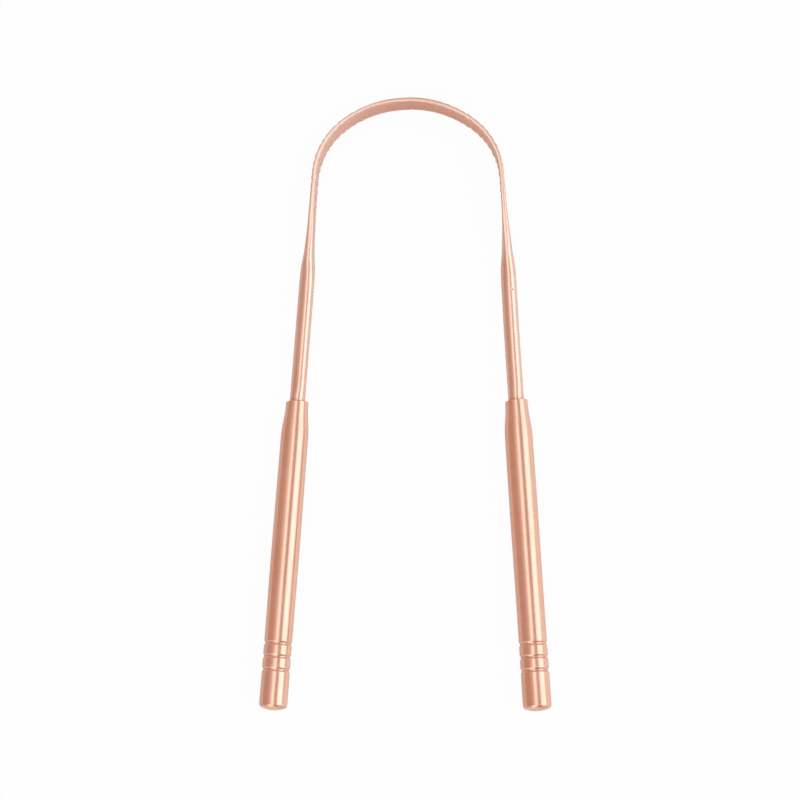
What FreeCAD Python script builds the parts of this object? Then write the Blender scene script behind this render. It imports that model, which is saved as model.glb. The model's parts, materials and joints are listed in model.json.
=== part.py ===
"""Copper tongue scraper: a rod bent to a bow and flattened in the middle, with two tube handles.

Millimetres and degrees. The scraper lies flat: the bow is in the XY plane with its crown towards +Y
and its handles towards -Y, Z is up, and the origin is the middle of its footprint on the table.
"""
import FreeCAD, Part
import os
import Sketcher

# Driving sizes: name, number, meaning
SIZES = (
    ("crown_radius", 25.4, "bend of the strip's middle line over the top of the bow"),
    ("crown_half_angle", 37.2, "turn of that bend on each side of the top"),
    ("shoulder_radius", 17.4, "tighter bend from the crown down to each leg"),
    ("leg_splay", 3.55, "lean of each leg away from the middle"),
    ("strip_thickness", 1.15, "flattened strip, seen on edge from above"),
    ("strip_width", 6.3, "flattened strip, across its two scraping edges"),
    ("strip_crown", 0.05, "swell of each flat face"),
    ("flat_leg", 3.5, "straight flat stretch below each shoulder"),
    ("wedge_length", 15.2, "from the flat stretch to the edge of the press mark"),
    ("wedge_thickness", 2.45, "rod at the edge of the press mark, thin way"),
    ("wedge_width", 4.7, "rod at the edge of the press mark, wide way"),
    ("wedge_crown", 0.22, "swell of its faces"),
    ("swell_length", 5.3, "from the press mark to where the rod is nearly round"),
    ("swell_flat", 0.13, "how much thinner than the round rod it is there"),
    ("swell_spread", 0.21, "how much wider than the round rod it is there"),
    ("swell_crown", 0.13, "swell of its faces"),
    ("blend_length", 3.7, "from there to the round rod"),
    ("rod_diameter", 3.6, "round rod of the stems"),
    ("stem_length", 27.8, "round rod in sight above each handle"),
    ("rod_insertion", 12.0, "round rod hidden in each handle"),
    ("barrel_diameter", 6.45, "handle tube, outside"),
    ("tube_wall", 0.65, "handle tube, wall"),
    ("tube_length", 70.75, "handle tube, mouth to lower end"),
    ("neck_draw", 0.6, "how much the swaged mouth is drawn in from the barrel, on each side"),
    ("mouth_round", 0.2, "rounding of the mouth's outer edge"),
    ("mouth_land", 0.4, "straight stretch of the mouth above the taper"),
    ("neck_length", 8.6, "from the mouth to the full barrel"),
    ("grip_length", 4.0, "stretch of the mouth that grips the rod"),
    ("bore_cone", 7.0, "widening of the bore behind the grip"),
    ("end_round", 1.0, "rounding of the handle's lower end, over the tube's edge and the plug's rim"),
    ("end_lap", 0.55, "start of that rounding above the tube's lower end"),
    ("groove_count", 3, "rolled grooves in each handle"),
    ("groove_radius", 0.5, "roundness of a rolled groove"),
    ("groove_depth", 0.27, "depth of a rolled groove"),
    ("groove_pitch", 3.0, "from groove to groove"),
    ("groove_from_end", 8.25, "lowest groove above the tube's lower end"),
    ("dome_height", 0.85, "rise of the end plug's face above the tube's lower end"),
    ("shank_tail", 2.2, "plug shank past the highest groove"),
    ("shank_chamfer", 0.5, "lead-in of the plug shank"),
)

# Corners of an outline closer together than this, in mm, are the same corner
SAME_POINT = 1e-6

# Thickness, width and swell of the faces where the rod is pressed
PRESSED = {
    "strip": ("dims.strip_thickness", "dims.strip_width", "dims.strip_crown"),
    "wedge": ("dims.wedge_thickness", "dims.wedge_width", "dims.wedge_crown"),
    "swell": (
        "(dims.rod_diameter - dims.swell_flat)",
        "(dims.rod_diameter + dims.swell_spread)",
        "dims.swell_crown",
    ),
}

# Lengths that follow from the driving sizes
BARREL = "(dims.barrel_diameter / 2)"
BORE = f"({BARREL} - dims.tube_wall)"
ROD = "(dims.rod_diameter / 2)"
MOUTH = f"({BARREL} - dims.neck_draw)"
END_INSET = f"({BARREL} - dims.end_round)"
END_SEAM = f"({END_INSET} + sqrt(dims.end_round^2 - dims.end_lap^2))"
ROUND_FROM = "(dims.tube_length - dims.end_lap)"
LOW_GROOVE = "(dims.tube_length - dims.groove_from_end)"
GROOVE_SPAN = "(dims.groove_pitch * (dims.groove_count - 1))"
GROOVE_OFFSET = "(dims.groove_radius - dims.groove_depth)"
SHANK_TOP = f"({LOW_GROOVE} - {GROOVE_SPAN} - dims.shank_tail)"

# Distances down a leg from the end of its shoulder
WEDGE_AT = "(dims.flat_leg + dims.wedge_length)"
SWELL_AT = f"({WEDGE_AT} + dims.swell_length)"
ROUND_AT = f"({SWELL_AT} + dims.blend_length)"
MOUTH_AT = f"({ROUND_AT} + dims.stem_length)"
TIP_AT = f"({MOUTH_AT} + dims.tube_length + dims.dome_height)"

# Top of a leg, measured from the middle of the crown's bend
BEND_STEP = "(dims.crown_radius - dims.shoulder_radius)"
LEG_X = f"({BEND_STEP} * sin(dims.crown_half_angle) + dims.shoulder_radius * cos(dims.leg_splay))"
LEG_Y = f"({BEND_STEP} * cos(dims.crown_half_angle) + dims.shoulder_radius * sin(dims.leg_splay))"

doc = FreeCAD.newDocument("tongue_scraper")
sheet = doc.addObject("Spreadsheet::Sheet", "dims")
for row, (alias, number, meaning) in enumerate(SIZES, start=1):
    sheet.set(f"A{row}", alias)
    sheet.set(f"B{row}", str(number))
    sheet.setAlias(f"B{row}", alias)
    sheet.set(f"C{row}", meaning)
doc.recompute()


def value(formula):
    """Number that a formula gives with the present sizes."""
    return float(sheet.evalExpression(formula))


def down_leg(distance):
    """Formulas for the x and y of a point on the right leg's middle line."""
    x = f"({LEG_X} + {distance} * sin(dims.leg_splay))"
    y = f"({LEG_Y} - {distance} * cos(dims.leg_splay))"
    return x, y


# Place of the bow: its bend's middle above the table, with the whole length centred on the origin
CROWN_TOP = "(dims.crown_radius + dims.strip_thickness / 2)"
BOW_Y = f"(-({CROWN_TOP} + {down_leg(TIP_AT)[1]}) / 2)"
BOW_Z = "(max(dims.barrel_diameter; dims.strip_width) / 2)"


def origin_feature(body, role):
    """Plane or axis of a body's own origin."""
    return next(feature for feature in body.Origin.OriginFeatures if feature.Role == role)


def new_sketch(body, name, plane):
    """Sketch on one of the body's origin planes."""
    sketch = body.newObject("Sketcher::SketchObject", name)
    sketch.AttachmentSupport = [(origin_feature(body, plane), "")]
    sketch.MapMode = "FlatFace"
    return sketch


def place_section(sketch, across, along, turn, sense):
    """Moves a section's plane in its own plane's directions and turns it about the vertical."""
    upright = FreeCAD.Rotation(FreeCAD.Vector(0, sense, 0), 1)
    sketch.AttachmentOffset = FreeCAD.Placement(FreeCAD.Vector(), upright)
    sketch.setExpression(".AttachmentOffset.Base.x", across)
    sketch.setExpression(".AttachmentOffset.Base.z", along)
    sketch.setExpression(".AttachmentOffset.Rotation.Angle", turn)


def bind(sketch, kind, target, formula):
    """Dimension that keeps following its formula."""
    number = sketch.addConstraint(Sketcher.Constraint(kind, *target, value(formula)))
    sketch.setExpression(f"Constraints[{number}]", formula)


def arc_middle(start, end, radius, hollow):
    """Middle of the short arc from start to end, to the right of the way there, or to its left if hollow."""
    chord = end - start
    right = FreeCAD.Vector(chord.y, -chord.x, 0).normalize()
    half = chord.Length / 2
    rise = radius - max(radius ** 2 - half ** 2, 0) ** 0.5
    return (start + end) * 0.5 + right * (-rise if hollow else rise)


def outline(sketch, corners, bends, hollows=()):
    """Closed outline, anticlockwise through its corners.

    An edge listed in bends is an arc of that radius, which swells outwards unless hollows lists it too.
    """
    points = [FreeCAD.Vector(value(x), value(y), 0) for x, y in corners]
    edges = []
    for index, start in enumerate(points):
        end = points[(index + 1) % len(points)]
        if index in bends:
            middle = arc_middle(start, end, value(bends[index]), index in hollows)
            shape = Part.Arc(start, middle, end)
        else:
            shape = Part.LineSegment(start, end)
        edge = sketch.addGeometry(shape, False)
        starts_here = sketch.getPoint(edge, 1).distanceToPoint(start) < SAME_POINT
        edges.append((edge, 1, 2) if starts_here else (edge, 2, 1))
    for index, (edge, _, last) in enumerate(edges):
        next_edge, next_first, _ = edges[(index + 1) % len(edges)]
        sketch.addConstraint(Sketcher.Constraint("Coincident", edge, last, next_edge, next_first))
    for index, (edge, first, _) in enumerate(edges):
        x, y = corners[index]
        bind(sketch, "DistanceX", (edge, first), x)
        bind(sketch, "DistanceY", (edge, first), y)
        if index in bends:
            bind(sketch, "Radius", (edge,), bends[index])


def circle(sketch, x, y, radius):
    """Circle whose middle and radius follow their formulas."""
    middle = FreeCAD.Vector(value(x), value(y), 0)
    edge = sketch.addGeometry(Part.Circle(middle, FreeCAD.Vector(0, 0, 1), value(radius)), False)
    bind(sketch, "DistanceX", (edge, 3), x)
    bind(sketch, "DistanceY", (edge, 3), y)
    bind(sketch, "Radius", (edge,), radius)


def bend_axis(sketch, radius):
    """Upright construction line, one bend radius inside the section's middle."""
    foot = FreeCAD.Vector(-value(radius), 0, 0)
    head = FreeCAD.Vector(-value(radius), value("dims.strip_width"), 0)
    line = sketch.addGeometry(Part.LineSegment(foot, head), True)
    bind(sketch, "DistanceX", (line, 1), f"-{radius}")
    bind(sketch, "DistanceX", (line, 2), f"-{radius}")
    bind(sketch, "DistanceY", (line, 1), "0")
    bind(sketch, "DistanceY", (line, 2), "dims.strip_width")


def four_arcs(sketch, x, y, face, edge):
    """Section of four arcs that meet at plus or minus x and y: two faces and two edges."""
    corners = [(x, f"-{y}"), (x, y), (f"-{x}", y), (f"-{x}", f"-{y}")]
    outline(sketch, corners, {0: face, 1: edge, 2: face, 3: edge})


def pressed_section(sketch, part):
    """Rod pressed flat: its round edges run smoothly into two gently swelling faces."""
    thickness, width, crown = PRESSED[part]
    half = f"({thickness} / 2)"
    edge = f"({half} - {crown})"
    rise = f"({width} / 2 - {edge})"
    face = f"(({rise}^2 + {half}^2 - {edge}^2) / (2 * {crown}))"
    x = f"({edge} * ({face} - {half}) / ({face} - {edge}))"
    y = f"({rise} * {face} / ({face} - {edge}))"
    four_arcs(sketch, x, y, face, edge)


def round_section(sketch):
    """Round rod, parted into four quarters that match the pressed sections."""
    corner = f"({ROD} * sin(45))"
    four_arcs(sketch, corner, corner, ROD, ROD)


def leg_section(body, name, distance):
    """Sketch square to the right leg at a distance down it."""
    sketch = new_sketch(body, name, "XZ_Plane")
    x, y = down_leg(distance)
    place_section(sketch, x, f"-{y}", "dims.leg_splay", 1)
    return sketch


def bend_section(body, name, turn, radius):
    """Strip section square to the crown's bend after a turn, with the axis of the bend that follows."""
    sketch = new_sketch(body, name, "YZ_Plane")
    across = f"(dims.crown_radius * cos({turn}))"
    along = f"(dims.crown_radius * sin({turn}))"
    place_section(sketch, across, along, turn, -1)
    pressed_section(sketch, "strip")
    bend_axis(sketch, radius)
    return sketch


def turned(body, name, kind, sketch, axis, angle):
    """Revolution or Groove about an axis of its sketch."""
    feature = body.newObject(f"PartDesign::{kind}", name)
    feature.Profile = sketch
    feature.ReferenceAxis = (sketch, [axis])
    feature.setExpression("Angle", angle)
    return feature


def padded(body, name, sketch, length):
    """Straight pad along its sketch's normal."""
    feature = body.newObject("PartDesign::Pad", name)
    feature.Profile = sketch
    feature.setExpression("Length", length)
    return feature


def lofted(body, name, sections, straight):
    """Loft from the first section through the others, with straight or smooth sides."""
    feature = body.newObject("PartDesign::AdditiveLoft", name)
    feature.Profile = sections[0]
    feature.Sections = sections[1:]
    feature.Ruled = straight
    return feature


def repeated(body, name, original):
    """Copies of a groove or bead up the handle, one for each rolled groove."""
    pattern = body.newObject("PartDesign::LinearPattern", name)
    pattern.Originals = [original]
    pattern.Direction = (origin_feature(body, "Y_Axis"), [""])
    pattern.setExpression("Length", GROOVE_SPAN)
    pattern.setExpression("Occurrences", "dims.groove_count")
    body.Tip = pattern


def scraper_bow():
    """One rod: flattened crown and shoulders, then a taper back to the round stem on each leg."""
    body = doc.addObject("PartDesign::Body", "scraper_bow")
    crown_section = bend_section(body, "crown_section", "0", "dims.crown_radius")
    crown = turned(body, "crown", "Revolution", crown_section, "Axis0", "2 * dims.crown_half_angle")
    crown.Midplane = True
    shoulder_turn = "dims.crown_half_angle"
    shoulder_section = bend_section(body, "shoulder_section", shoulder_turn, "dims.shoulder_radius")
    rest_of_turn = "90 - dims.leg_splay - dims.crown_half_angle"
    shoulder = turned(body, "shoulder", "Revolution", shoulder_section, "Axis0", rest_of_turn)
    shoulder.Reversed = True
    flat_section = leg_section(body, "flat_section", "0")
    pressed_section(flat_section, "strip")
    flat = padded(body, "flat_leg", flat_section, "dims.flat_leg")
    stations = []
    for part, distance in (("strip", "dims.flat_leg"), ("wedge", WEDGE_AT), ("swell", SWELL_AT)):
        station = leg_section(body, f"{part}_station", distance)
        pressed_section(station, part)
        stations.append(station)
    round_station = leg_section(body, "round_station", ROUND_AT)
    round_section(round_station)
    wedge = lofted(body, "wedge", stations[:2], True)
    swell = lofted(body, "swell", stations[1:] + [round_station], False)
    stem_section = leg_section(body, "stem_section", ROUND_AT)
    round_section(stem_section)
    stem = padded(body, "stem", stem_section, "dims.stem_length + dims.rod_insertion")
    other_leg = body.newObject("PartDesign::Mirrored", "other_leg")
    other_leg.Originals = [shoulder, flat, wedge, swell, stem]
    other_leg.MirrorPlane = (origin_feature(body, "YZ_Plane"), [""])
    body.Tip = other_leg
    body.setExpression(".Placement.Base.y", BOW_Y)
    body.setExpression(".Placement.Base.z", BOW_Z)
    return body


def handle_body(name, side):
    """Empty body whose own origin is the mouth of a handle, with the handle down its -Y."""
    body = doc.addObject("PartDesign::Body", name)
    x, y = down_leg(MOUTH_AT)
    body.Placement = FreeCAD.Placement(FreeCAD.Vector(), FreeCAD.Rotation(FreeCAD.Vector(0, 0, side), 1))
    body.setExpression(".Placement.Base.x", f"{side} * {x}")
    body.setExpression(".Placement.Base.y", f"{BOW_Y} + {y}")
    body.setExpression(".Placement.Base.z", BOW_Z)
    body.setExpression(".Placement.Rotation.Angle", "dims.leg_splay")
    return body


def handle_tube(name, side):
    """Drawn tube: swaged mouth on the rod, plain barrel, rolled grooves that bead its bore."""
    body = handle_body(name, side)
    corners = [
        (ROD, "0"),
        (ROD, "-dims.grip_length"),
        (BORE, "-(dims.grip_length + dims.bore_cone)"),
        (BORE, "-dims.tube_length"),
        (END_SEAM, "-dims.tube_length"),
        (BARREL, f"-{ROUND_FROM}"),
        (BARREL, "-dims.neck_length"),
        (f"({BARREL} + {MOUTH}) / 2", "-(dims.neck_length + dims.mouth_land) / 2"),
        (MOUTH, "-dims.mouth_land"),
        (MOUTH, "-dims.mouth_round"),
        (f"{MOUTH} - dims.mouth_round", "0"),
    ]
    taper = "(dims.neck_length - dims.mouth_land)"
    neck_arc = f"(({taper}^2 + dims.neck_draw^2) / (4 * dims.neck_draw))"
    bends = {4: "dims.end_round", 6: neck_arc, 7: neck_arc, 9: "dims.mouth_round"}
    profile = new_sketch(body, f"{name}_profile", "XY_Plane")
    outline(profile, corners, bends, hollows=(7,))
    turned(body, f"{name}_wall", "Revolution", profile, "V_Axis", "360")
    half = f"sqrt(dims.groove_radius^2 - {GROOVE_OFFSET}^2)"
    root = f"{BORE} + dims.tube_wall / 2"
    bead_corners = [
        (BORE, f"{half} - {LOW_GROOVE}"),
        (BORE, f"-{half} - {LOW_GROOVE}"),
        (root, f"-{half} - {LOW_GROOVE}"),
        (root, f"{half} - {LOW_GROOVE}"),
    ]
    bead_ring = new_sketch(body, f"{name}_bead_ring", "XY_Plane")
    outline(bead_ring, bead_corners, {0: "dims.groove_radius"})
    bead = turned(body, f"{name}_bead", "Revolution", bead_ring, "V_Axis", "360")
    repeated(body, f"{name}_beads", bead)
    ring = new_sketch(body, f"{name}_groove_ring", "XY_Plane")
    circle(ring, f"{BARREL} + {GROOVE_OFFSET}", f"-{LOW_GROOVE}", "dims.groove_radius")
    groove = turned(body, f"{name}_groove", "Groove", ring, "V_Axis", "360")
    repeated(body, f"{name}_grooves", groove)
    return body


def end_plug(name, side):
    """Domed plug: its head sits on the tube's end and the beads of the bore lock its shank.

    The face is a shallow ball that runs smoothly into the rounding of the tube's end.
    """
    body = handle_body(name, side)
    height = "(dims.dome_height + dims.end_lap)"
    rise = f"({height} - dims.end_round)"
    ball = f"(({END_INSET}^2 + {height}^2 - dims.end_round^2) / (2 * {rise}))"
    reach = f"({ball} / ({ball} - dims.end_round))"
    corners = [
        ("0", f"-{SHANK_TOP}"),
        ("0", "-(dims.tube_length + dims.dome_height)"),
        (f"{END_INSET} * {reach}", f"-({ROUND_FROM} + ({ball} - {height}) * ({reach} - 1))"),
        (END_SEAM, "-dims.tube_length"),
        (BORE, "-dims.tube_length"),
        (BORE, f"-({SHANK_TOP} + dims.shank_chamfer)"),
        (f"{BORE} - dims.shank_chamfer", f"-{SHANK_TOP}"),
    ]
    profile = new_sketch(body, f"{name}_profile", "XY_Plane")
    outline(profile, corners, {1: ball, 2: "dims.end_round"})
    turned(body, f"{name}_blank", "Revolution", profile, "V_Axis", "360")
    ring = new_sketch(body, f"{name}_groove_ring", "XY_Plane")
    circle(ring, f"{BORE} + {GROOVE_OFFSET}", f"-{LOW_GROOVE}", "dims.groove_radius")
    groove = turned(body, f"{name}_groove", "Groove", ring, "V_Axis", "360")
    repeated(body, f"{name}_grooves", groove)
    return body


pieces = [scraper_bow()]
for hand, side in (("left", -1), ("right", 1)):
    pieces.append(handle_tube(f"{hand}_handle_tube", side))
    pieces.append(end_plug(f"{hand}_end_plug", side))
doc.recompute()

for item in doc.Objects:
    if "Invalid" in item.State or "Error" in item.State:
        raise RuntimeError(f"{item.Label} did not build: {item.State}")
for piece in pieces:
    if piece.Shape.isNull() or not piece.Shape.isValid() or len(piece.Shape.Solids) != 1:
        raise RuntimeError(f"{piece.Label} is not one sound solid")

os.makedirs("parts", exist_ok=True)
for piece in pieces:
    piece.Shape.exportStep(f"parts/{piece.Label}.step")
    box = piece.Shape.optimalBoundingBox()
    corners = [round(n, 2) for n in (box.XMin, box.YMin, box.ZMin, box.XMax, box.YMax, box.ZMax)]
    print(f"{piece.Label}: {piece.Shape.Volume:.1f} mm3, corners {corners}")
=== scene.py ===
"""Looks of a copper tongue scraper: a pressed rod bow and two drawn tube handles on a pale floor.

Sizes are in millimetres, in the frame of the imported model, and become metres where a mesh is made.
"""

import json
import logging
import math
from dataclasses import dataclass
from enum import Enum
from typing import Any

import bpy
import numpy as np
from mathutils import Matrix, Vector


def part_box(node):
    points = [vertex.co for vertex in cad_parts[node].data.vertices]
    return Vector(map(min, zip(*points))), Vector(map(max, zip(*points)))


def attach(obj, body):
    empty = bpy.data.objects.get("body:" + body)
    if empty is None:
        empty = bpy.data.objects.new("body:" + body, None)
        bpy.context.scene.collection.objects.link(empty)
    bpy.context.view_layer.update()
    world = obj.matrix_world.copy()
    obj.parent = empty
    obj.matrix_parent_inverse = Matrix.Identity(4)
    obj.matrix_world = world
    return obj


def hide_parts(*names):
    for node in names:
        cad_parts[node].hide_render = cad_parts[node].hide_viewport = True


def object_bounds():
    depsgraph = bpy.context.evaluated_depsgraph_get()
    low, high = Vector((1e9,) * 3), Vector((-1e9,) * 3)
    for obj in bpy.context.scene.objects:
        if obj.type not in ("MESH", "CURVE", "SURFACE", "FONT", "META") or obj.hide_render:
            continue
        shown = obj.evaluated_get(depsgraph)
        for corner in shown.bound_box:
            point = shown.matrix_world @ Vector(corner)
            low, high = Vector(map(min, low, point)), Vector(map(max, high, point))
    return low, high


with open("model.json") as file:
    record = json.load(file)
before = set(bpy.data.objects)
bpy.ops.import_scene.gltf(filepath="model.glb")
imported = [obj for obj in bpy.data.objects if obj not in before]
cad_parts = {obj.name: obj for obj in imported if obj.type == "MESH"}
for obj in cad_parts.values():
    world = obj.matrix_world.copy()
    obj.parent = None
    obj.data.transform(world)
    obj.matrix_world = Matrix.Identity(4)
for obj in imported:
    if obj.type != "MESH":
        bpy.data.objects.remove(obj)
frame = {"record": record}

Array = np.ndarray
Colour = tuple[float, float, float]
Socket = bpy.types.NodeSocket

MM = 0.001
BODY = "root"
CAD_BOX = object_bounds()
CROSS_PITCH = 0.7
CROSS_LENGTH = 5.0
BROAD_LINES = 5.0
FINE_SHARE = 0.6
SPECK_RATE = 14.0
BLOTCH_RATE = 4.0
DULL_SATIN = 0.16
LOG = logging.getLogger("tongue_scraper")


class Side(Enum):
    """The two handles, as seen from above with the crown away from the viewer."""

    LEFT = -1.0
    RIGHT = 1.0

    @property
    def word(self) -> str:
        """Name of the side as it stands in node names."""
        return self.name.lower()


class Grain(Enum):
    """How the fine tool lines of a finish run over a piece."""

    ALONG = "along"
    AROUND = "around"


@dataclass(frozen=True)
class Section:
    """One cross-section of the rod: thickness in the bend's plane, width across it, crown of a face."""

    thickness: float
    width: float
    crown: float


@dataclass(frozen=True)
class TonePatch:
    """A bell of tone along the bow: the run from the apex that it is centred on, its reach and its share."""

    centre: float
    reach: float
    share: float

    def at(self, run: Array) -> Array:
        """Share of the tone at each run: the bell of the distance from the centre, in reaches."""
        return self.share * np.exp(-(((run - self.centre) / self.reach) ** 2))


@dataclass
class Skin:
    """A closed grid of surface points, with what the finish reads at each of them.

    Rows run along the piece and columns run round it. The last column joins the first. A skin has
    two pole points that close its first and last rows, or none, and then its last row joins its first.
    """

    points: Array
    lay: Array
    worn: Array
    dull: Array
    pressed: Array
    poles: Array | None = None


def smooth_step(value: Array, low: float, high: float) -> Array:
    """Ramp from 0 at low to 1 at high, with level ends: three t squared less two t cubed.

    Args:
        value: Where the ramp is read.
        low: Value at which the ramp leaves 0.
        high: Value at which the ramp reaches 1.

    Returns:
        The ramp, in the shape of value.
    """
    t = np.clip((value - low) / (high - low), 0.0, 1.0)
    return t * t * (3.0 - 2.0 * t)


def eased(at: Array, stops: Array, values: Array) -> Array:
    """Curve through stops that never swings past them.

    Each stop's slope is the harmonic mean of the slopes beside it, or 0 where they differ in sign, and
    a cubic joins each pair of stops.

    Args:
        at: Where the curve is read.
        stops: Rising positions of the stops.
        values: The curve's values there.

    Returns:
        The curve, in the shape of at.
    """
    run = np.diff(stops)
    rise = np.diff(values) / run
    before, after = rise[:-1], rise[1:]
    same = before * after > 0.0
    mean = np.where(same, 2.0 * before * after / np.where(same, before + after, 1.0), 0.0)
    slope = np.concatenate([[0.0], mean, [0.0]])
    place = np.clip(np.searchsorted(stops, at, side="right") - 1, 0, len(run) - 1)
    t = np.clip((at - stops[place]) / run[place], 0.0, 1.0)
    start, end = values[place], values[place + 1]
    lift = run[place] * ((1.0 - t) * slope[place] - t * slope[place + 1])
    return start + (end - start) * t * t * (3.0 - 2.0 * t) + t * (1.0 - t) * lift


def skin_mesh(name: str, skin: Skin) -> bpy.types.Mesh:
    """Put a skin into a mesh with smooth faces that point outwards.

    A quad joins each row and column to the next, a triangle joins each pole to its row, and the faces
    are turned round if the volume that they enclose comes out negative.

    Args:
        name: Name of the mesh.
        skin: The grid of points.

    Returns:
        The mesh, with the skin's attributes and a UV map along and round the piece.
    """
    rows, columns = skin.points.shape[:2]
    bands = rows if skin.poles is None else rows - 1
    row, column = np.meshgrid(np.arange(bands), np.arange(columns), indexing="ij")
    corners = [(row, column), (row, column + 1), (row + 1, column + 1), (row + 1, column)]
    quads = np.stack([(r % rows) * columns + c % columns for r, c in corners], -1).reshape(-1, 4)
    quad_uv = np.stack([np.stack([r / rows, c / columns], -1) for r, c in corners], -2).reshape(-1, 4, 2)
    points = skin.points.reshape(-1, 3)
    lay = skin.lay.reshape(-1, 3)
    worn = skin.worn.reshape(-1)
    dull = skin.dull.reshape(-1)
    pressed = skin.pressed.reshape(-1)
    fans = np.zeros((0, 3), int)
    fan_uv = np.zeros((0, 3, 2))
    if skin.poles is not None:
        first = np.arange(columns)
        second = (first + 1) % columns
        last = (rows - 1) * columns
        start_pole, end_pole = rows * columns, rows * columns + 1
        fans = np.concatenate(
            [
                np.stack([np.full(columns, start_pole), second, first], -1),
                np.stack([np.full(columns, end_pole), last + first, last + second], -1),
            ]
        )
        sweep, step = first / columns, 1.0 / columns
        turns = np.stack([sweep + step / 2, sweep + step, sweep], -1)
        start_uv = np.stack([np.zeros_like(turns), turns], -1)
        end_uv = np.stack([np.ones_like(turns), turns[:, [0, 2, 1]]], -1)
        fan_uv = np.concatenate([start_uv, end_uv])
        ends = [0, rows - 1]
        points = np.concatenate([points, skin.poles])
        lay = np.concatenate([lay, skin.lay[ends].mean(1)])
        worn = np.concatenate([worn, skin.worn[ends].mean(1)])
        dull = np.concatenate([dull, skin.dull[ends].mean(1)])
        pressed = np.concatenate([pressed, skin.pressed[ends].mean(1)])
    triangles = np.concatenate([quads[:, [0, 1, 2]], quads[:, [0, 2, 3]], fans])
    a, b, c = (points[triangles[:, k]] for k in range(3))
    if np.einsum("ij,ij->", a, np.cross(b, c)) < 0.0:
        quads, quad_uv = quads[:, ::-1], quad_uv[:, ::-1]
        fans, fan_uv = fans[:, ::-1], fan_uv[:, ::-1]
    mesh = bpy.data.meshes.new(name)
    mesh.from_pydata((points * MM).tolist(), [], quads.tolist() + fans.tolist())
    mesh.polygons.foreach_set("use_smooth", np.ones(len(mesh.polygons), bool))
    grain = mesh.attributes.new("lay", "FLOAT_VECTOR", "POINT")
    grain.data.foreach_set("vector", lay.astype(np.float32).ravel())
    for label, values in (("worn", worn), ("dull", dull), ("pressed", pressed)):
        mesh.attributes.new(label, "FLOAT", "POINT").data.foreach_set("value", values.astype(np.float32))
    layer = mesh.uv_layers.new(name="turned")
    layer.data.foreach_set("uv", np.concatenate([quad_uv.reshape(-1), fan_uv.reshape(-1)]).astype(np.float32))
    mesh.update()
    return mesh


class Bench:
    """Lays out the nodes of one tree and joins them."""

    def __init__(self, tree: bpy.types.NodeTree) -> None:
        """Clear the tree, ready for new nodes."""
        self.tree = tree
        tree.nodes.clear()

    def add(self, kind: str, inputs: dict[Any, Any] | None = None, **settings: Any) -> bpy.types.Node:
        """Add a node.

        Args:
            kind: Blender's name for the node's type.
            inputs: Input sockets by name or number, each with a value or with a socket to join to it.
            settings: Properties of the node.

        Returns:
            The node.
        """
        node = self.tree.nodes.new(kind)
        for key, value in settings.items():
            setattr(node, key, value)
        for key, value in (inputs or {}).items():
            if isinstance(value, Socket):
                self.tree.links.new(value, node.inputs[key])
            else:
                node.inputs[key].default_value = value
        return node

    def maths(self, operation: str, first: Any, second: Any = 0.0, clamp: bool = False) -> Socket:
        """One sum on two numbers or sockets.

        Args:
            operation: Blender's name for the sum.
            first: First number or socket.
            second: Second number or socket.
            clamp: Whether the result is held between 0 and 1.

        Returns:
            The socket that holds the result.
        """
        node = self.add("ShaderNodeMath", {0: first, 1: second}, operation=operation, use_clamp=clamp)
        return node.outputs[0]

    def ramp(self, value: Any, low: float, high: float, to_low: float, to_high: float) -> Socket:
        """Carry a range of values to another range, held at its ends.

        Args:
            value: Socket to read.
            low: Value that becomes to_low.
            high: Value that becomes to_high.
            to_low: Result at low.
            to_high: Result at high.

        Returns:
            The socket that holds the result.
        """
        sockets = {"Value": value, "From Min": low, "From Max": high, "To Min": to_low, "To Max": to_high}
        return self.add("ShaderNodeMapRange", sockets).outputs[0]

    def ease(self, value: Any, low: float, high: float) -> Socket:
        """Ramp from 0 at low to 1 at high, with level ends.

        Args:
            value: Socket to read.
            low: Value at which the ramp leaves 0.
            high: Value at which the ramp reaches 1.

        Returns:
            The socket that holds the ramp.
        """
        sockets = {"Value": value, "From Min": low, "From Max": high}
        return self.add("ShaderNodeMapRange", sockets, interpolation_type="SMOOTHSTEP").outputs[0]

    def mix(self, share: Any, first: Any, second: Any) -> Socket:
        """Blend two colours.

        Args:
            share: How much of the second colour shows, from 0 to 1.
            first: Colour or socket that shows at 0.
            second: Colour or socket that shows at 1.

        Returns:
            The socket that holds the colour.
        """
        first, second = (v if isinstance(v, Socket) else (*v, 1.0) for v in (first, second))
        node = self.add("ShaderNodeMix", {0: share, 6: first, 7: second}, data_type="RGBA")
        return node.outputs[2]

    def noise(self, vector: Any, scale: tuple[float, float, float], detail: float) -> Socket:
        """Noise stretched by a scale for each axis.

        Args:
            vector: Coordinates to read.
            scale: How often the noise repeats in a unit of each axis.
            detail: Number of finer layers.

        Returns:
            The noise, about 0 to 1.
        """
        placed = self.add("ShaderNodeMapping", {"Vector": vector, "Scale": scale}).outputs[0]
        node = self.add("ShaderNodeTexNoise", {"Vector": placed, "Scale": 1.0, "Detail": detail})
        return node.outputs[0]


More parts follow.
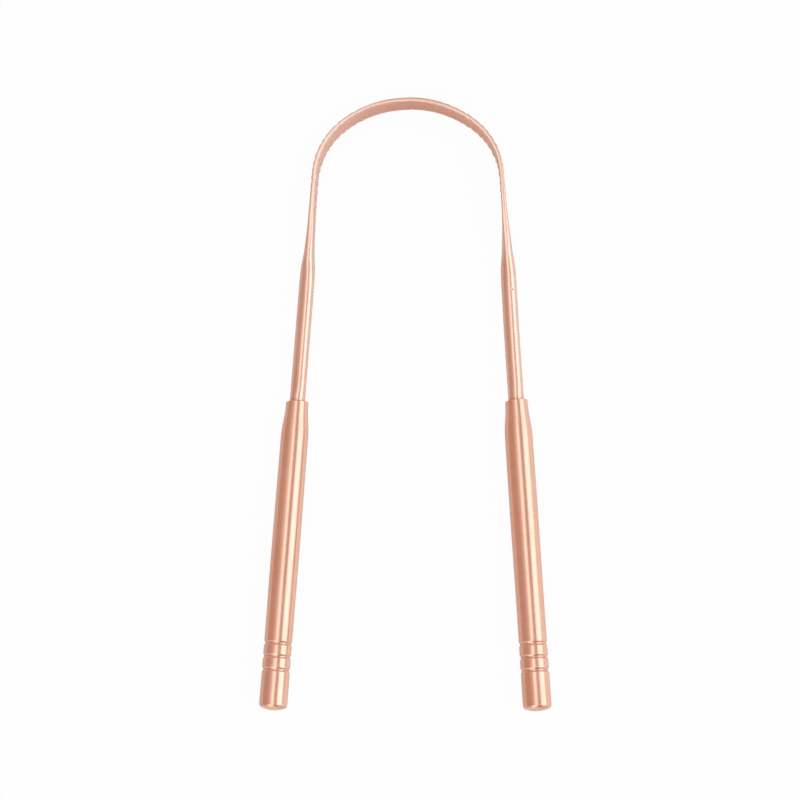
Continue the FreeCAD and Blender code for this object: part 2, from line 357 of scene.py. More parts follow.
@dataclass(frozen=True)
class CopperFinish:
    """Bare copper with tool lines, warmer patches of tarnished copper, darker oxide in hollows and painted
    shade, and bright wear on edges with a painted sheen.
    """

    name: str
    slot: str
    grain: Grain
    colour: Colour
    warm_colour: Colour
    dull_colour: Colour
    worn_colour: Colour
    pressed_colour: Colour
    smooth: float
    rough: float
    line_pitch: float
    line_depth: float
    line_length: float
    patch_size: float
    edge_satin: float
    cross_marks: float
    anisotropy: float

    def line_scale(self, pitch: float) -> tuple[float, float, float]:
        """Scale of a noise whose streaks follow the grain, at this pitch."""
        fine, slow = 1.0 / pitch, 1.0 / self.line_length
        return (slow, fine, fine) if self.grain is Grain.ALONG else (fine, slow, slow)

    def material(self) -> bpy.types.Material:
        """Make the finish as a node material.

        Returns:
            The material, which reads the skin's attributes and Object coordinates.
        """
        made = bpy.data.materials.new(self.name)
        made.use_nodes = True
        bench = Bench(made.node_tree)
        lay = bench.add("ShaderNodeAttribute", attribute_name="lay").outputs["Vector"]
        worn = bench.add("ShaderNodeAttribute", attribute_name="worn").outputs["Fac"]
        dull = bench.add("ShaderNodeAttribute", attribute_name="dull").outputs["Fac"]
        pressed = bench.add("ShaderNodeAttribute", attribute_name="pressed").outputs["Fac"]
        place = bench.add("ShaderNodeTexCoord").outputs["Object"]
        fine = bench.noise(lay, self.line_scale(self.line_pitch), 2.0)
        broad = bench.noise(lay, self.line_scale(self.line_pitch * BROAD_LINES), 3.0)
        patch_rate = 1.0 / (self.patch_size * MM)
        patch = bench.noise(place, (patch_rate,) * 3, 3.0)
        speck = bench.noise(place, (patch_rate * SPECK_RATE,) * 3, 2.0)
        coarse = bench.maths("MULTIPLY", broad, 1.0 - FINE_SHARE)
        lines = bench.maths("ADD", bench.maths("MULTIPLY", fine, FINE_SHARE), coarse)
        warmth = bench.ramp(patch, 0.42, 0.68, 0.0, 0.45)
        warmth = bench.maths("ADD", warmth, bench.ramp(lines, 0.38, 0.62, 0.16, -0.10), clamp=True)
        if self.cross_marks:
            across = bench.noise(lay, (1.0 / CROSS_PITCH, 1.0 / CROSS_LENGTH, 1.0 / CROSS_LENGTH), 3.0)
            mark = bench.ramp(across, 0.35, 0.65, -self.cross_marks, self.cross_marks)
            warmth = bench.maths("ADD", warmth, mark, clamp=True)
        colour = bench.mix(warmth, self.colour, self.warm_colour)
        blotch = bench.noise(place, (patch_rate * BLOTCH_RATE,) * 3, 1.0)
        uneven = bench.maths("ADD", bench.maths("MULTIPLY", blotch, FINE_SHARE), coarse)
        blush = bench.maths("MULTIPLY", pressed, bench.ramp(uneven, 0.36, 0.62, 0.15, 1.0), clamp=True)
        colour = bench.mix(blush, colour, self.pressed_colour)
        # Darker copper where the attribute asks: oxide in the grooves and the pit, painted shade on the bow's
        # strip, and oxide with painted shade where the rod enters the tubes.
        oxide_and_shade_share = bench.maths("MULTIPLY", dull, bench.ramp(speck, 0.3, 0.7, 0.7, 1.0), clamp=True)
        colour = bench.mix(oxide_and_shade_share, colour, self.dull_colour)
        # Paler copper where the attribute asks: wear on the strip's edges and the grooves' lips, and a
        # painted sheen on the faces of the bow's left shoulder.
        brightness = bench.maths("MULTIPLY", worn, bench.ramp(patch, 0.3, 0.7, 0.5, 1.0), clamp=True)
        colour = bench.mix(brightness, colour, self.worn_colour)
        gloss = bench.ramp(lines, 0.3, 0.7, self.smooth, self.rough)
        gloss = bench.maths("ADD", gloss, bench.ramp(speck, 0.35, 0.75, -0.01, 0.04))
        gloss = bench.maths("ADD", gloss, bench.maths("MULTIPLY", oxide_and_shade_share, DULL_SATIN))
        gloss = bench.maths("ADD", gloss, bench.maths("MULTIPLY", worn, self.edge_satin), clamp=True)
        rub = {"Height": speck, "Strength": 0.35, "Distance": self.line_depth * MM}
        low = bench.add("ShaderNodeBump", rub)
        cut = {"Height": lines, "Strength": 1.0, "Distance": self.line_depth * MM, "Normal": low.outputs[0]}
        bump = bench.add("ShaderNodeBump", cut)
        shader = bench.add(
            "ShaderNodeBsdfPrincipled",
            {"Base Color": colour, "Metallic": 1.0, "Roughness": gloss, "Normal": bump.outputs[0]},
        )
        if self.anisotropy:
            tangent = bench.add("ShaderNodeTangent", direction_type="UV_MAP", uv_map="turned")
            shader.inputs["Anisotropic"].default_value = self.anisotropy
            made.node_tree.links.new(tangent.outputs[0], shader.inputs["Tangent"])
        bench.add("ShaderNodeOutputMaterial", {"Surface": shader.outputs[0]})
        return made


BOW_COPPER = CopperFinish(
    name="drawn_and_pressed_copper",
    slot="bow_copper",
    grain=Grain.ALONG,
    colour=(0.90, 0.595, 0.47),
    warm_colour=(0.86, 0.51, 0.375),
    # Below, the dark colour paints oxide and painted shade, and the pale colour paints wear and a painted
    # sheen.
    dull_colour=(0.42, 0.165, 0.095),
    worn_colour=(0.96, 0.70, 0.56),
    pressed_colour=(0.95, 0.49, 0.365),
    smooth=0.21,
    rough=0.31,
    line_pitch=0.42,
    line_depth=0.005,
    line_length=14.0,
    patch_size=11.0,
    edge_satin=0.06,
    cross_marks=0.0,
    anisotropy=0.0,
)
HANDLE_COPPER = CopperFinish(
    name="drawn_tube_copper",
    slot="handle_copper",
    grain=Grain.ALONG,
    colour=(0.90, 0.545, 0.405),
    warm_colour=(0.85, 0.46, 0.31),
    dull_colour=(0.46, 0.19, 0.11),
    worn_colour=(0.94, 0.62, 0.48),
    pressed_colour=(0.90, 0.54, 0.40),
    smooth=0.18,
    rough=0.27,
    line_pitch=0.30,
    line_depth=0.010,
    line_length=28.0,
    patch_size=13.0,
    edge_satin=0.0,
    cross_marks=0.12,
    anisotropy=0.3,
)
PLUG_COPPER = CopperFinish(
    name="turned_plug_copper",
    slot="plug_copper",
    grain=Grain.AROUND,
    colour=(0.88, 0.51, 0.375),
    warm_colour=(0.83, 0.43, 0.285),
    dull_colour=(0.42, 0.165, 0.095),
    worn_colour=(0.92, 0.59, 0.45),
    pressed_colour=(0.88, 0.51, 0.375),
    smooth=0.18,
    rough=0.28,
    line_pitch=0.12,
    line_depth=0.004,
    line_length=5.0,
    patch_size=7.0,
    edge_satin=0.0,
    cross_marks=0.0,
    anisotropy=0.0,
)


def place_piece(
    name: str, skin: Skin, finish: CopperFinish, material: bpy.types.Material
) -> bpy.types.Object:
    """Make a piece that stands for the CAD node of the same name and rides with the body.

    Args:
        name: Name of the CAD node.
        skin: The piece's surface.
        finish: The finish that the piece is given.
        material: The finish's material.

    Returns:
        The piece's object, at the origin, with its place in its mesh.
    """
    piece = bpy.data.objects.new(f"{name}_skin", skin_mesh(f"{name}_skin", skin))
    piece.data.materials.append(material)
    bpy.context.scene.collection.objects.link(piece)
    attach(piece, BODY)
    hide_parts(name)
    LOG.info("%s: %d faces, %s", piece.name, len(piece.data.polygons), finish.name)
    return piece


@dataclass
class ScraperBow:
    """The bow: a round rod at both ends, pressed into a strip on edge over its shoulders and crown."""

    node: str = "scraper_bow"
    crown_radius: float = 25.4
    crown_half_angle: float = 37.2
    shoulder_radius: float = 17.4
    leg_splay: float = 3.55
    strip: Section = Section(1.15, 6.3, 0.05)
    wedge: Section = Section(2.45, 4.7, 0.22)
    swell: Section = Section(3.47, 3.81, 0.13)
    rod: Section = Section(3.6, 3.6, 0.13)
    flat_leg: float = 3.5
    wedge_length: float = 15.2
    swell_length: float = 5.3
    blend_length: float = 3.7
    stem_length: float = 27.8
    rod_insertion: float = 12.0
    press_mark_pitch: float = 1.9
    press_mark_depth: float = 0.13
    press_drift: float = 0.9
    press_drift_rate: float = 0.26
    press_swell: float = 0.35
    press_swell_rate: float = 0.37
    press_swell_start: float = 1.7
    press_reach: float = 0.45
    strip_sway: float = 0.04
    sway_run: float = 4.3
    sway_start: float = 0.8
    hand_bend: float = 0.33
    hand_bend_down: float = 13.0
    hand_bend_run: float = 17.0
    pit_down: float = 29.0
    pit_turn: float = 62.0
    pit_radius: float = 0.22
    pit_depth: float = 0.09
    row_step: float = 0.34
    outer_edge_power: float = 0.85
    inner_edge_power: float = 0.4
    face_hollow: float = 0.12
    blush_crest: float = 3.0
    blush_run: float = 14.0
    blush_wave: float = 0.45
    # Darker copper where the rod enters the tube, partly oxide and partly painted shade of the junction.
    mouth_tarnish: float = 0.85
    mouth_tarnish_run: float = 0.35
    # Painted shade: darker copper on the strip at the apex and on the right shoulder, where less light falls
    # on the floor that its faces mirror.
    tarnish: tuple[TonePatch, ...] = (TonePatch(3.0, 14.0, 0.34), TonePatch(34.0, 11.0, 0.26))
    # Painted sheen: paler copper on the faces of the left shoulder, where they mirror the floor that the lamp
    # on the right lights.
    rubbed: TonePatch = TonePatch(-31.0, 13.0, 0.85)
    # How far the painted shade hides the wear on the strip's edges.
    tarnish_hides_wear: float = 2.2
    rod_oval: float = 0.10
    rod_oval_shift: float = 0.03
    oval_fade: float = 4.0
    face_columns: int = 14
    edge_columns: int = 30

    def __post_init__(self) -> None:
        """Work out the bends' angles and runs, and the bow's place from its CAD node's box."""
        low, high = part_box(self.node)
        self.middle = (low.z + high.z) / 2 / MM
        self.crown_turn = math.radians(self.crown_half_angle)
        self.whole_turn = math.radians(90.0 - self.leg_splay)
        self.crown_run = self.crown_radius * self.crown_turn
        self.bend_run = self.crown_run + self.shoulder_radius * (self.whole_turn - self.crown_turn)
        pressed = self.flat_leg + self.wedge_length + self.swell_length + self.blend_length
        self.mouth = pressed + self.stem_length
        self.half_run = self.bend_run + self.mouth + self.rod_insertion
        self.crown_centre = high.y / MM - self.crown_radius - self.strip.thickness / 2

    def path(self, reach: Array) -> tuple[Array, Array, Array]:
        """Centre line of the bow, by its run from the apex.

        A point is the crown's centre, plus the difference of the two bend radii along the normal that
        the crown has turned to, plus the shoulder's radius along the normal of the whole turn, plus the
        run down the straight leg. A negative reach is mirrored to the left.

        Args:
            reach: Run from the apex, to the right where positive.

        Returns:
            The points and the outward normals in the bow's plane, and the run down the leg.
        """
        out = np.abs(reach)
        side = np.where(reach < 0.0, -1.0, 1.0)
        crown = np.minimum(out, self.crown_run) / self.crown_radius
        past_crown = np.clip(out - self.crown_run, 0.0, self.bend_run - self.crown_run)
        turn = crown + past_crown / self.shoulder_radius
        down = np.maximum(out - self.bend_run, 0.0)
        step = self.crown_radius - self.shoulder_radius
        x = step * np.sin(crown) + self.shoulder_radius * np.sin(turn) + down * np.cos(turn)
        y = step * np.cos(crown) + self.shoulder_radius * np.cos(turn) - down * np.sin(turn)
        points = np.stack([side * x, self.crown_centre + y], -1)
        normals = np.stack([side * np.sin(turn), np.cos(turn)], -1)
        return points, normals, down

    def sizes_down(self, down: Array) -> tuple[Array, Array, Array]:
        """Thickness, width and crown of the section, eased from the strip to the round rod.

        Args:
            down: Run down the leg from the end of the shoulder.

        Returns:
            Thickness, width and crown.
        """
        runs = [0.0, self.flat_leg, self.wedge_length, self.swell_length, self.blend_length, self.stem_length]
        stops = np.cumsum(runs)
        sections = [self.strip, self.strip, self.wedge, self.swell, self.rod, self.rod]
        thickness = eased(down, stops, np.array([s.thickness for s in sections]))
        width = eased(down, stops, np.array([s.width for s in sections]))
        crown = eased(down, stops, np.array([s.crown for s in sections]))
        return thickness, width, crown

    def section(self, thickness: Array, width: Array, crown: Array) -> tuple[Array, Array, Array]:
        """Outline of the section at each row: two flat arcs for the faces, two round arcs for the edges.

        A point is found from its turn round the section. Near the thickness direction it lies on the
        face's arc, whose radius makes it meet the edge in one tangent, and past that on the edge, whose
        reach is smaller than half of the thickness by the crown. The edge is half of a superellipse:
        cosine and sine of the turn to a power that is 1 on the round rod and less on the strip, which
        makes the strip's edges squarer, most of all on its inner side. The strip's inner face is drawn
        in by a hollow that falls off with the square of the height.

        Args:
            thickness: Thickness of each row.
            width: Width of each row.
            crown: Crown of each row.

        Returns:
            Offsets along the thickness and along the width, and the angle of the normal.
        """
        half = thickness / 2
        edge = half - crown
        rise = width / 2 - edge
        face = (rise**2 + half**2 - edge**2) / (2 * crown)
        meet = np.arcsin(np.clip(rise / (face - edge), 0.0, 1.0))
        bound = np.minimum(meet, math.pi / 4)[:, None]
        along_face = (np.arange(self.face_columns) / self.face_columns * 2 - 1)[None, :]
        along_edge = (np.arange(self.edge_columns) / self.edge_columns)[None, :]
        edge_angle = bound + (math.pi - 2 * bound) * along_edge
        face_angle = bound * along_face
        angle = np.concatenate([face_angle, edge_angle, face_angle + math.pi, edge_angle + math.pi], 1)
        folded = np.arctan2(np.abs(np.sin(angle)), np.abs(np.cos(angle)))
        on_face = folded <= meet[:, None]
        square = smooth_step(1.0 - thickness / width, 0.35, 0.8)[:, None]
        strip_power = np.where(np.cos(angle) > 0.0, self.outer_edge_power, self.inner_edge_power)
        power = 1.0 + (strip_power - 1.0) * square
        face_x = (half - face)[:, None] + face[:, None] * np.cos(folded)
        face_y = face[:, None] * np.sin(folded)
        edge_x = edge[:, None] * np.abs(np.cos(folded)) ** power
        edge_y = rise[:, None] + edge[:, None] * np.abs(np.sin(folded)) ** power
        x = np.where(on_face, face_x, edge_x) * np.sign(np.cos(angle))
        y = np.where(on_face, face_y, edge_y) * np.sign(np.sin(angle))
        hollow = self.face_hollow * square * np.clip(1.0 - (y / rise[:, None]) ** 2, 0.0, 1.0)
        return x + np.where(np.cos(angle) < 0.0, hollow, 0.0), y, angle

    def rows(self) -> Array:
        """Runs from the apex at which the section is set, closer together at the small pit.

        Returns:
            Rising runs, from the left rod tip to the right.
        """
        count = int(round(2 * self.half_run / self.row_step)) + 1
        even = np.linspace(-self.half_run, self.half_run, count)
        pit = self.bend_run + self.pit_down
        close = pit + np.linspace(-3.0, 3.0, 25) * self.pit_radius
        outside = even[(even < close[0] - self.row_step / 2) | (even > close[-1] + self.row_step / 2)]
        return np.union1d(outside, close)

    def press_marks(self, out: Array, side: Array) -> Array:
        """Uneven scallops that the press left along the strip's edges at the shoulders.

        A wave of the press's pitch, slowly shifted and swelled by two longer waves, under a bell that
        is centred on the shoulder.

        Args:
            out: Run from the apex, without its sign.
            side: Sign of the run.

        Returns:
            Change of half of the thickness at the edges.
        """
        turn = 2 * math.pi * out / self.press_mark_pitch
        drift = self.press_drift * np.sin(turn * self.press_drift_rate + side)
        wave = np.sin(turn * self.press_swell_rate + self.press_swell_start * side)
        swell = 1.0 - self.press_swell + self.press_swell * wave
        middle = (self.crown_run + self.bend_run) / 2
        bell = np.exp(-(((out - middle) / (self.press_reach * self.bend_run)) ** 4))
        return self.press_mark_depth * np.sin(turn + drift) * swell * bell

    def skin(self) -> Skin:
        """Carry the section along the centre line, with its press marks, sway and pit.

        The right leg is bowed out by a bell of its run, and the round stems are a little oval, aslant:
        their radius changes with the sine of twice the turn.

        Returns:
            The bow's surface, closed at both rod tips.
        """
        reach = self.rows()
        out, side = np.abs(reach), np.sign(reach)
        centre, normal, down = self.path(reach)
        thickness, width, crown = self.sizes_down(down)
        x, y, angle = self.section(thickness, width, crown)
        flatness = 1.0 - thickness / width
        outer = smooth_step(np.abs(y) / (width / 2)[:, None], 0.55, 0.95)
        edge = outer * smooth_step(flatness, 0.1, 0.6)[:, None]
        x = x + np.sign(x) * edge * np.abs(np.cos(angle)) * self.press_marks(out, side)[:, None]
        sway = self.strip_sway * np.sin(out / self.sway_run + self.sway_start * side)
        sway = sway * smooth_step(flatness, 0.3, 0.8)
        bent = (reach - self.bend_run - self.hand_bend_down) / self.hand_bend_run
        sway = sway + self.hand_bend * np.exp(-(bent**2))
        inset = np.minimum(out - self.bend_run - self.mouth, 0.0)
        roundness = (1.0 - smooth_step(flatness, 0.0, 0.25)) * smooth_step(-inset, 0.4, self.oval_fade)
        oval = (side * self.rod_oval - self.rod_oval_shift) * roundness
        slant = oval[:, None] * np.sin(2 * angle)
        x, y = x + slant * np.cos(angle), y + slant * np.sin(angle)
        pit = self.pit_depth * np.exp(
            -((reach - self.bend_run - self.pit_down)[:, None] ** 2) / self.pit_radius**2
            - ((angle - math.radians(self.pit_turn)) * thickness[:, None] / 2) ** 2 / self.pit_radius**2
        )
        across = x + sway[:, None] - pit * np.cos(angle)
        height = y - pit * np.sin(angle)
        points = np.concatenate(
            [
                centre[:, None, :] + across[..., None] * normal[:, None, :],
                (self.middle + height)[..., None],
            ],
            -1,
        )
        lay = np.stack([np.broadcast_to(reach[:, None], x.shape), x, y], -1)
        # Darker copper where the rod enters the tube, partly oxide and partly painted shade of the junction,
        # and oxide in the small pit.
        at_mouth = self.mouth_tarnish * np.exp(inset / self.mouth_tarnish_run)
        dull = at_mouth[:, None] + pit / self.pit_depth + 0.0 * x
        ends = np.concatenate([centre[[0, -1]], np.full((2, 1), self.middle)], 1)
        face = np.abs(np.cos(angle)) ** 2 * smooth_step(flatness, 0.25, 0.75)[:, None]
        off_crest = np.clip((reach - self.blush_crest) / self.blush_run, -math.pi, math.pi)
        # Painted shade: darker patches on the strip at the apex and the right shoulder, where less light
        # falls.
        tarnish = sum(patch.at(reach) for patch in self.tarnish)
        strip = smooth_step(flatness, 0.25, 0.75)
        dull = dull + (tarnish * strip)[:, None]
        blush = (1.0 - self.blush_wave + self.blush_wave * np.cos(off_crest))[:, None] * face
        # Wear on the strip's edges, hidden under the painted shade, and a painted sheen on the left
        # shoulder's faces.
        kept = np.clip(1.0 - self.tarnish_hides_wear * tarnish, 0.0, 1.0)
        worn = np.maximum(kept[:, None] * edge, self.rubbed.at(reach)[:, None] * face)
        return Skin(points, lay, worn, np.clip(dull, 0.0, 1.0), blush, ends)

    def build(self) -> bpy.types.Object:
        """Make the bow and dress it."""
        return place_piece(self.node, self.skin(), BOW_COPPER, BOW_COPPER.material())


@dataclass
class Handle:
    """One handle: a tube with a swaged mouth, rolled grooves and a rounded end, closed by a domed plug."""

    side: Side
    neck_draw: float = 0.6
    mouth_round: float = 0.2
    mouth_land: float = 0.4
    neck_length: float = 8.6
    mouth_gap: float = 0.1
    grip_length: float = 4.0
    bore_cone: float = 7.0
    tube_wall: float = 0.65
    tube_length: float = 70.75
    end_round: float = 1.0
    end_lap: float = 0.55
    rod_diameter: float = 3.6
    groove_count: int = 3
    groove_radius: float = 0.5
    groove_depth: float = 0.27
    groove_pitch: float = 3.0
    groove_from_end: float = 8.25
    groove_lip: float = 0.045
    groove_half_band: float = 0.62
    groove_rows: int = 27
    barrel_rows: int = 90
    dome_height: float = 0.85
    shank_length: float = 16.0
    shank_chamfer: float = 0.5
    sway: float = 0.008
    sway_turn_run: float = 6.1
    sway_run: float = 9.7
    uneven: float = 0.06
    uneven_run: float = 8.0
    uneven_crest: float = 28.5
    uneven_shift: float = 4.5
    mouth_slant: float = 0.17
    slant_run: float = 4.0
    groove_tarnish: float = 0.25
    lip_wear: float = 0.8
    lip_share: float = 0.4
    # Darker copper round the mouth's inner lip where the rod enters, partly oxide and partly painted shade of
    # the junction.
    mouth_tarnish_run: float = 0.2
    mouth_tarnish_reach: float = 0.35
    columns: int = 112

    def __post_init__(self) -> None:
        """Take the barrel's radius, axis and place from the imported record's mount."""
        mounts = {m["name"]: m for m in frame["record"]["mounts"]}
        mount = mounts[f"{self.side.word}_handle_barrel"]
        self.radius = mount["dims"]["r_mm"]
        self.axis = np.array(mount["axis"]) / np.linalg.norm(mount["axis"])
        reach = self.neck_length + mount["dims"]["length_mm"] / 2
        self.mouth = np.array(mount["pos_m"]) / MM - reach * self.axis
        self.bore = self.radius - self.tube_wall
        self.seam_turn = math.acos(self.end_lap / self.end_round)
        first = self.tube_length - self.groove_from_end - (self.groove_count - 1) * self.groove_pitch
        self.groove_places = first + self.groove_pitch * np.arange(self.groove_count)

    def grooves(self, along: Array) -> Array:
        """Depth of the rolled grooves below the barrel.

        Each groove is the part of a circle that lies below the barrel, and a soft maximum with nothing
        rounds its two lips.

        Args:
            along: Distance from the mouth.

        Returns:
            Depth of the groove, 0 on the barrel.
        """
        offset = along[:, None] - self.groove_places[None, :]
        floor = self.groove_radius - self.groove_depth
        drop = np.sqrt(np.maximum(self.groove_radius**2 - offset**2, 0.0)) - floor
        return (self.groove_lip * np.logaddexp(0.0, drop / self.groove_lip)).sum(1)

    def outside(self, along: Array) -> Array:
        """Radius of the tube's outside from the mouth's land to the end's rounding.

        The neck is two equal arcs that turn opposite ways, level at both of its ends.

        Args:
            along: Distance from the mouth.

        Returns:
            The radius.
        """
        taper = self.neck_length - self.mouth_land
        bend = (taper**2 + self.neck_draw**2) / (4 * self.neck_draw)
        run = np.clip(along - self.mouth_land, 0.0, taper)
        near = bend - np.sqrt(bend**2 - np.minimum(run, taper / 2) ** 2)
        far = bend - np.sqrt(bend**2 - np.minimum(taper - run, taper / 2) ** 2)
        rise = np.where(run < taper / 2, near, self.neck_draw - far)
        return self.radius - self.neck_draw + rise - self.grooves(along)

    def tube_profile(self) -> Array:
        """Closed outline of the tube's wall: mouth, outside, rounded end, end face and bore.

        Returns:
            Distance from the mouth and radius of each point, in order.
        """
        quarter = np.linspace(0.0, math.pi / 2, 7)
        mouth_radius = self.radius - self.neck_draw
        rod = self.rod_diameter / 2
        lip = np.stack(
            [
                self.mouth_round * (1 - np.sin(quarter)),
                mouth_radius - self.mouth_round * (1 - np.cos(quarter)),
            ],
            -1,
        )[::-1]
        coarse = np.linspace(self.mouth_round, self.tube_length - self.end_lap, self.barrel_rows)
        band = np.linspace(-self.groove_half_band, self.groove_half_band, self.groove_rows)
        fine = self.groove_places[:, None] + band
        along = np.union1d(coarse, fine.ravel())[1:-1]
        outside = np.stack([along, self.outside(along)], -1)
        turn = np.linspace(math.pi / 2, self.seam_turn, 9)
        end = self.end_rounding(turn)
        bore = np.array(
            [
                [self.tube_length, self.bore],
                [self.grip_length + self.bore_cone, self.bore],
                [self.grip_length, rod],
                [2 * self.mouth_gap, rod],
                [0.0, rod + self.mouth_gap],
            ]
        )
        return np.concatenate([lip[1:], outside, end, bore])

    def end_rounding(self, turn: Array) -> Array:
        """Rounding that the tube's end and the plug's rim share.

        A point lies one rounding radius from the rounding's middle, turned from the handle's axis.

        Args:
            turn: Angle from the axis, a right angle on the barrel.

        Returns:
            Distance from the mouth and radius of each point.
        """
        along = self.tube_length - self.end_lap + self.end_round * np.cos(turn)
        return np.stack([along, self.radius - self.end_round * (1 - np.sin(turn))], -1)

    def plug_profile(self) -> Array:
        """Outline of the plug from the tip of its shank to the top of its dome.

        The dome is a shallow ball that runs smoothly into the rounding of the tube's end.

        Returns:
            Distance from the mouth and radius of each point, from pole to pole.
        """
        inset = self.radius - self.end_round
        height = self.dome_height + self.end_lap
        rise = height - self.end_round
        ball = (inset**2 + height**2 - self.end_round**2) / (2 * rise)
        meet = math.asin(inset / (ball - self.end_round))
        rim = self.end_rounding(np.linspace(self.seam_turn, meet, 9))
        sweep = np.linspace(meet, 0.0, 13)[1:]
        tip = self.tube_length - self.shank_length
        shank = np.array(
            [
                [tip, 0.0],
                [tip, self.bore - self.shank_chamfer],
                [tip + self.shank_chamfer, self.bore],
                [self.tube_length, self.bore],
            ]
        )
        top = self.tube_length + self.dome_height
        dome = np.stack([top - ball * (1 - np.cos(sweep)), ball * np.sin(sweep)], -1)
        return np.concatenate([shank, rim, dome])

    def revolve(self, profile: Array, poles: bool) -> Skin:
        """Turn a profile round the handle's axis.

        A point lies its distance down the axis from the mouth, and its radius out from it, at each of an
        even ring of angles. Two slow waves, one in distance and one in distance and angle, keep the
        radius from being perfect, most on top and not at all underneath, where the handle lies on the
        floor. The mouth is cut a little aslant: its distance is less to the right, by a bell that
        fades down the neck.

        Args:
            profile: Distance from the mouth and radius of each point.
            poles: Whether the profile starts and ends on the axis.

        Returns:
            The turned surface.
        """
        sideways = np.array([-self.axis[1], self.axis[0], 0.0])
        upwards = np.array([0.0, 0.0, 1.0])
        angle = np.arange(self.columns) * 2 * math.pi / self.columns
        ring = np.cos(angle)[:, None] * sideways + np.sin(angle)[:, None] * upwards
        steps = np.linalg.norm(np.diff(profile, axis=0), axis=1)
        run = np.concatenate([[0.0], np.cumsum(steps)])
        kept = slice(1, -1) if poles else slice(None)
        along, radius, run = profile[kept, 0], profile[kept, 1], run[kept]
        wave = np.sin(2 * angle[None, :] + along[:, None] / self.sway_turn_run + self.side.value)
        crest = self.uneven_crest - self.uneven_shift * self.side.value
        slow = self.uneven * np.cos((along - crest) / self.uneven_run)
        upper = (1.0 + np.sin(angle)) / 2
        change = (slow[:, None] + self.sway * wave * np.sin(along / self.sway_run)[:, None]) * upper
        out = radius[:, None] + change * (radius / self.radius)[:, None] ** 4
        lean = self.mouth_slant * np.exp(-((along / self.slant_run) ** 2)) * radius / self.radius
        down = along[:, None] - lean[:, None] * np.cos(angle)
        points = self.mouth + down[..., None] * self.axis + out[..., None] * ring
        lay = np.stack(
            [
                np.broadcast_to(run[:, None], out.shape),
                radius[:, None] * np.cos(angle),
                radius[:, None] * np.sin(angle),
            ],
            -1,
        )
        depth = self.grooves(along) / self.groove_depth
        rod = self.rod_diameter / 2
        # Oxide darkens the grooves; round the mouth's inner lip, where the rod enters, the darkening is
        # partly oxide and partly painted shade.
        near_rod = smooth_step(radius, rod + self.mouth_tarnish_reach, rod)
        at_mouth = np.exp(-np.maximum(along, 0.0) / self.mouth_tarnish_run) * near_rod
        dull = np.clip(self.groove_tarnish * depth**2 + at_mouth, 0.0, 1.0)[:, None] + 0.0 * out
        lip = np.clip(4 * depth * (1 - depth), 0.0, 1.0) * (depth < self.lip_share)
        worn = (self.lip_wear * lip)[:, None] + 0.0 * out
        ends = self.mouth + profile[[0, -1], :1] * self.axis if poles else None
        return Skin(points, lay, worn, dull, 0.0 * out, ends)

    def build(self, tube_copper: bpy.types.Material, plug_copper: bpy.types.Material) -> None:
        """Make the tube and its plug and dress them.

        Args:
            tube_copper: Material of the tube.
            plug_copper: Material of the plug.
        """
        tube = self.revolve(self.tube_profile(), poles=False)
        place_piece(f"{self.side.word}_handle_tube", tube, HANDLE_COPPER, tube_copper)
        plug = self.revolve(self.plug_profile(), poles=True)
        place_piece(f"{self.side.word}_end_plug", plug, PLUG_COPPER, plug_copper)


@dataclass(frozen=True)
class SoftBox:
    """A soft lamp: where it stands, in metres from the middle of the part, its size and its brightness."""

    name: str
    place: tuple[float, float, float]
    size: tuple[float, float]
    radiance: float
    colour: Colour = (1.0, 1.0, 1.0)

    def build(self) -> bpy.types.Object:
        """Hang the lamp so that it faces the part.

        A flat lamp's power is its radiance times its area times pi.

        Returns:
            The lamp's object.
        """
        lamp = bpy.data.lights.new(self.name, "AREA")
        lamp.shape = "RECTANGLE"
        lamp.size, lamp.size_y = self.size
        lamp.energy = self.radiance * math.pi * self.size[0] * self.size[1]
        lamp.color = self.colour
        made = bpy.data.objects.new(self.name, lamp)
        back = Vector(self.place).normalized()
        across = Vector((0.0, 1.0, 0.0)).cross(back).normalized()
        turned = Matrix((across, back.cross(across), back)).transposed().to_4x4()
        made.matrix_world = Matrix.Translation(Vector(self.place)) @ turned
        made.visible_camera = False
        bpy.context.scene.collection.objects.link(made)
        return made


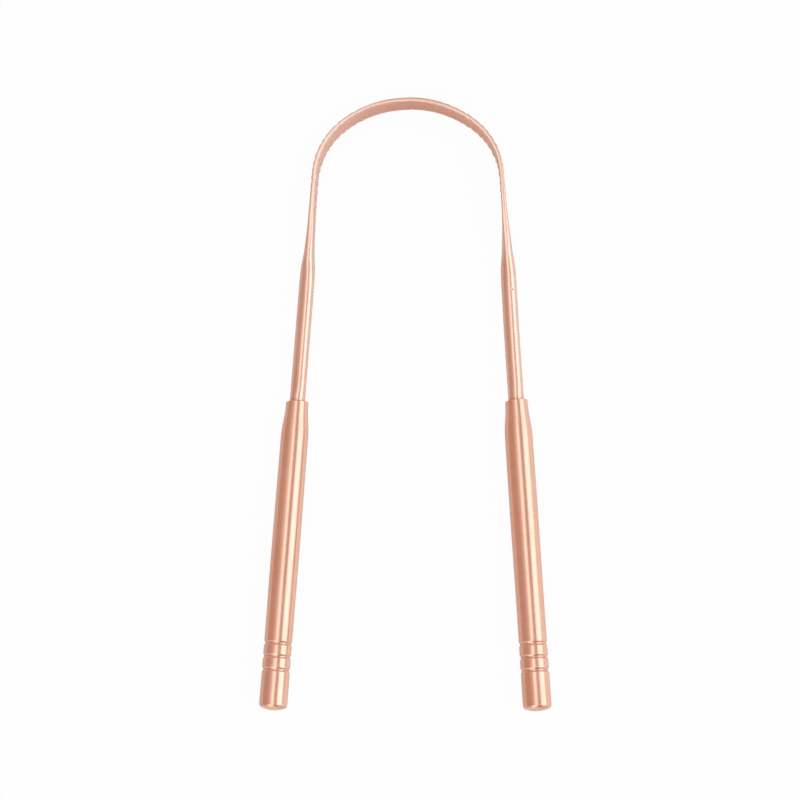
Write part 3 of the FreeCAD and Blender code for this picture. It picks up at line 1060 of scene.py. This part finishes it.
@dataclass
class Studio:
    """The pale floor, the soft lamps, the dim surround and the camera."""

    floor_size: float = 3.0
    floor_white: float = 0.84
    floor_gloss: float = 0.35
    floor_index: float = 2.5
    camera_share: float = 0.95
    surround_left: Colour = (0.58, 0.42, 0.38)
    surround_above: Colour = (0.92, 0.88, 0.86)
    surround_gap: Colour = (0.58, 0.56, 0.55)
    surround_right: Colour = (0.92, 0.92, 0.95)
    surround_back: Colour = (0.62, 0.60, 0.58)
    surround_front_left: Colour = (0.85, 0.85, 0.85)
    surround_front_right: Colour = (0.36, 0.30, 0.28)
    boxes: tuple[SoftBox, ...] = (
        SoftBox("overhead_box", (-0.05, 0.02, 0.80), (0.26, 0.74), 0.64, (0.93, 1.0, 1.12)),
        SoftBox("key_box", (0.829, 0.0, 0.559), (0.76, 1.2), 0.95, (0.94, 1.0, 1.16)),
        SoftBox("front_fill", (-0.20, -0.74, 0.48), (0.50, 0.80), 1.0),
    )
    image_width: float = 800.0
    focal_pixels: float = 1966.5
    sensor: float = 36.0
    distance: float = 0.460
    tilt: float = 11.42
    yaw: float = 3.587
    roll: float = 0.367
    target: tuple[float, float, float] = (-0.00150, -0.00084, 0.00322)

    def build(self) -> None:
        """Set up the floor, the surround, the lamps and the camera."""
        bpy.context.scene.view_settings.view_transform = "Standard"
        self.build_floor()
        self.build_surround()
        for box in self.boxes:
            box.build()
        self.build_camera()

    def build_floor(self) -> None:
        """Lay a pale floor under the part that looks white and keeps a faint shadow."""
        half = self.floor_size / 2
        flat = np.array([[-half, -half], [half, -half], [half, half], [-half, half]])
        corners = np.concatenate([flat, np.full((4, 1), CAD_BOX[0].z)], 1)
        mesh = bpy.data.meshes.new("floor")
        mesh.from_pydata(corners.tolist(), [], [[0, 1, 2, 3]])
        floor = bpy.data.objects.new("floor", mesh)
        bpy.context.scene.collection.objects.link(floor)
        paper = bpy.data.materials.new("floor_paper")
        paper.use_nodes = True
        bench = Bench(paper.node_tree)
        rays = bench.add("ShaderNodeLightPath")
        seen = bench.maths("MULTIPLY", rays.outputs["Is Camera Ray"], self.camera_share)
        board = bench.add(
            "ShaderNodeBsdfPrincipled",
            {
                "Base Color": (*(self.floor_white,) * 3, 1.0),
                "Roughness": self.floor_gloss,
                "IOR": self.floor_index,
            },
        )
        glow = bench.add("ShaderNodeEmission", {"Color": (1.0, 1.0, 1.0, 1.0), "Strength": 1.0})
        mixed = bench.add("ShaderNodeMixShader", {0: seen, 1: board.outputs[0], 2: glow.outputs[0]})
        bench.add("ShaderNodeOutputMaterial", {"Surface": mixed.outputs[0]})
        mesh.materials.append(paper)

    def build_surround(self) -> None:
        """Light the part from all round, dimmer from the left, with white behind the part."""
        world = bpy.data.worlds.new("studio")
        bpy.context.scene.world = world
        world.use_nodes = True
        bench = Bench(world.node_tree)
        direction = bench.add("ShaderNodeTexCoord").outputs["Generated"]
        axes = bench.add("ShaderNodeSeparateXYZ", {0: direction})
        right, away = axes.outputs["X"], axes.outputs["Y"]
        room = bench.mix(bench.ease(right, -0.80, -0.15), self.surround_left, self.surround_above)
        room = bench.mix(bench.ease(right, 0.02, 0.28), room, self.surround_gap)
        room = bench.mix(bench.ease(right, 0.42, 0.98), room, self.surround_right)
        front = bench.mix(bench.ease(right, -0.35, 0.35), self.surround_front_left, self.surround_front_right)
        room = bench.mix(bench.ease(away, -0.40, -0.80), room, front)
        room = bench.mix(bench.ease(away, 0.40, 0.85), room, self.surround_back)
        seen = bench.add("ShaderNodeLightPath").outputs["Is Camera Ray"]
        shown = bench.mix(seen, room, (1.0, 1.0, 1.0))
        light = bench.add("ShaderNodeBackground", {"Color": shown, "Strength": 1.0})
        bench.add("ShaderNodeOutputWorld", {"Surface": light.outputs[0]})

    def build_camera(self) -> None:
        """Stand the camera over the part, a little towards the handles and to the right."""
        tilt, yaw, roll = (math.radians(a) for a in (self.tilt, self.yaw, self.roll))
        level = math.cos(tilt)
        back = Vector((math.sin(yaw) * level, -math.sin(tilt), math.cos(yaw) * level)).normalized()
        right = Vector((0.0, 1.0, 0.0)).cross(back).normalized()
        up = back.cross(right)
        across = right * math.cos(roll) + up * math.sin(roll)
        upwards = up * math.cos(roll) - right * math.sin(roll)
        lens = bpy.data.cameras.new("camera")
        lens.sensor_fit = "HORIZONTAL"
        lens.sensor_width = self.sensor
        lens.lens = self.focal_pixels / self.image_width * self.sensor
        lens.clip_start, lens.clip_end = 0.01, 20.0
        camera = bpy.data.objects.new("camera", lens)
        turned = Matrix((across, upwards, back)).transposed().to_4x4()
        camera.matrix_world = Matrix.Translation(Vector(self.target) + back * self.distance) @ turned
        bpy.context.scene.collection.objects.link(camera)
        bpy.context.scene.camera = camera


def main() -> None:
    """Build the bow, the two handles and the studio."""
    logging.basicConfig(level=logging.INFO, format="%(name)s %(message)s")
    ScraperBow().build()
    tube_copper, plug_copper = HANDLE_COPPER.material(), PLUG_COPPER.material()
    for side in Side:
        Handle(side).build(tube_copper, plug_copper)
    Studio().build()


if __name__ == "__main__":
    main()
